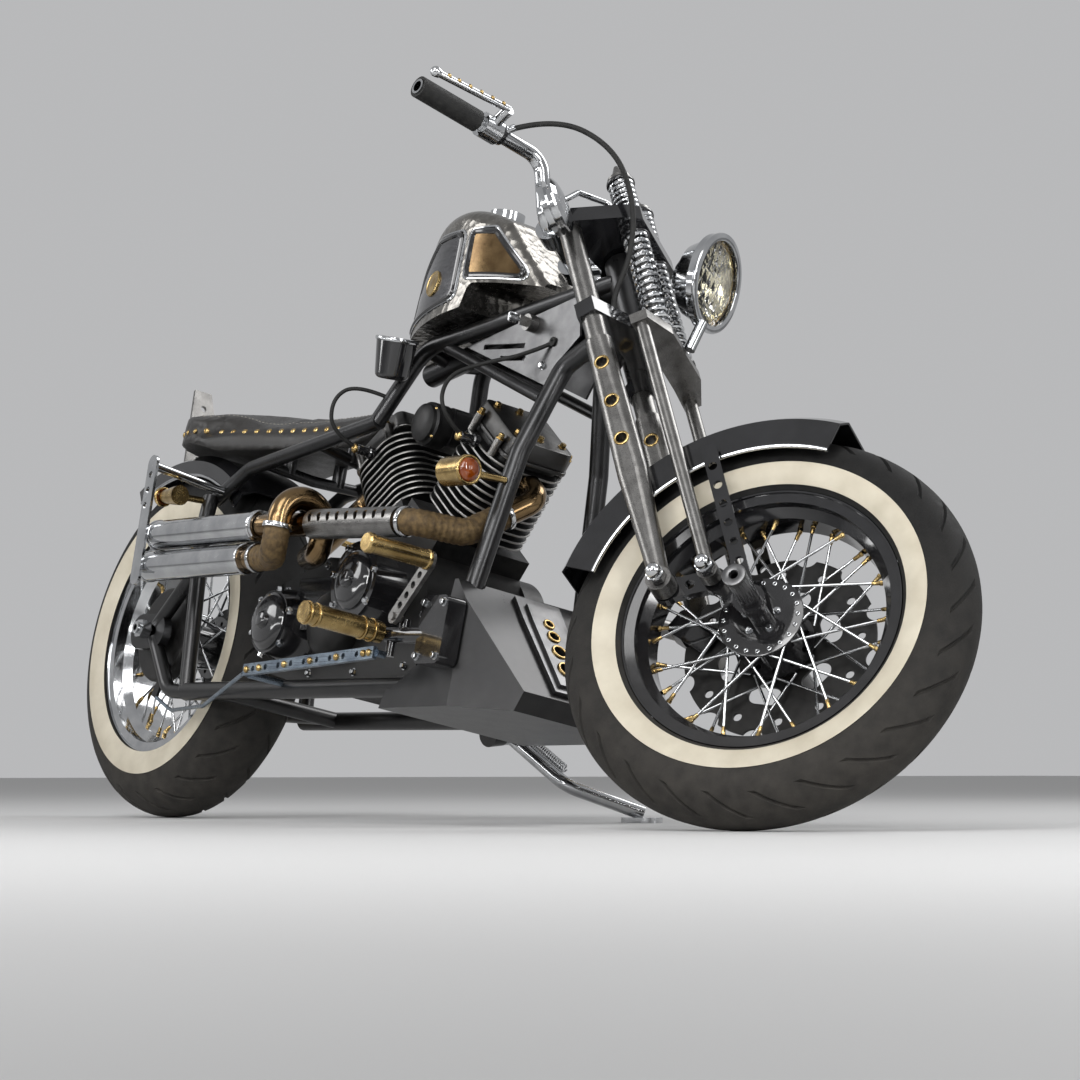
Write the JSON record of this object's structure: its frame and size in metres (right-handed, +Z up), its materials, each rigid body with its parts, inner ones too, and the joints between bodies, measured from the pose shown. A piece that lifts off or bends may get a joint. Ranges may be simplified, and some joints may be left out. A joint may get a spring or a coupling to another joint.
{
  "type": "custom springer motorcycle",
  "caption": "Custom springer bobber motorcycle with finned V engine, wire wheels, short side exhausts and a chin fairing, parked leaning on its side stand.",
  "frame": {"origin": "on the floor, under the middle of the parked motorcycle", "axes": "+X towards the front wheel, +Y to its left, +Z up; the motorcycle leans to +Y on its side stand"},
  "size_m": [2.2311, 0.705, 1.1841],
  "materials": {
    "bare_aluminium": "brushed aluminium",
    "black_leather": "stitched",
    "black_paint": "gloss black paint",
    "brass": "brushed brass",
    "bronze_pipe": "heat tinted bronze",
    "engine_black": "satin black cast",
    "grip_rubber": "matt",
    "gunmetal_paint": "satin grey metallic paint",
    "hammered_metal": "hand hammered",
    "lamp_glass": "clear",
    "polished_steel": "polished",
    "satin_steel": "brushed steel",
    "tyre_rubber": "black rubber with cream sidewalls"
  },
  "bodies": {
    "frame": {"carburettor": "engine_black", "chin_fairing": "gunmetal_paint", "chin_panel": "bare_aluminium", "control_links": "bare_aluminium", "control_mounts": "black_paint", "crankcase": "engine_black", "cylinder_heads": "engine_black", "cylinders": "engine_black", "engine_covers": "engine_black", "exhaust_hanger": "polished_steel", "final_drive": "black_paint", "foot_pedals": "polished_steel", "footpegs": "brass", "front_exhaust_pipe": "bronze_pipe", "fuel_tank": "hammered_metal", "gauge": "black_paint", "gusset_panels": "bare_aluminium", "heat_shield": "satin_steel", "ignition_lock": "brass", "main_frame": "gunmetal_paint", "mufflers": "polished_steel", "rear_axle": "polished_steel", "rear_drum_brake": "black_paint", "rear_exhaust_pipe": "bronze_pipe", "rear_fender": "black_paint", "seat": "black_leather", "sissy_bar": "polished_steel", "swingarm": "gunmetal_paint", "tank_cap": "polished_steel", "tank_panels": "bronze_pipe", "turn_signals": "brass"},
    "fork": {"fork_clamps": "black_paint", "fork_rigid_legs": "satin_steel", "fork_spring_legs": "satin_steel", "fork_springs": "polished_steel", "fork_rockers": "satin_steel", "front_axle": "polished_steel", "front_fender": "black_paint", "fender_struts": "black_paint", "front_caliper": "black_paint", "headlamp_shell": "polished_steel", "headlamp_lens": "lamp_glass", "handlebar": "polished_steel", "grips": "grip_rubber", "levers": "polished_steel", "mirror": "polished_steel", "control_cables": "grip_rubber"},
    "front_wheel": {"front_tyre": "tyre_rubber", "front_rim": "black_paint", "front_hub": "black_paint", "front_spokes": "polished_steel", "front_brake_disc": "black_paint"},
    "rear_wheel": {"rear_tyre": "tyre_rubber", "rear_rim": "polished_steel", "rear_hub": "black_paint", "rear_spokes": "polished_steel"},
    "stand": {"side_stand": "polished_steel"}
  },
  "joints": [
    {"name": "steering", "type": "hinge", "parent": "frame", "child": "fork", "pos_m": [0.96023, -0.06639, -0.00959], "axis": [-0.554, 0.1695, 0.8151], "range_deg": [-64.8, 0]},
    {"name": "front_wheel_spin", "type": "hinge", "parent": "fork", "child": "front_wheel", "pos_m": [0.82295, 0.03511, 0.29066], "axis": [-0.4472, 0.7652, -0.4631], "continuous": true},
    {"name": "rear_wheel_spin", "type": "hinge", "parent": "frame", "child": "rear_wheel", "pos_m": [-0.79272, -0.00034, 0.31776], "axis": [-0.0013, 0.9789, -0.2045], "continuous": true},
    {"name": "stand_fold", "type": "hinge", "parent": "frame", "child": "stand", "pos_m": [0.00122, 0.13496, 0.14856], "axis": [-0.1897, 0.9783, 0.0831], "range_deg": [0, 110]}
  ]
}
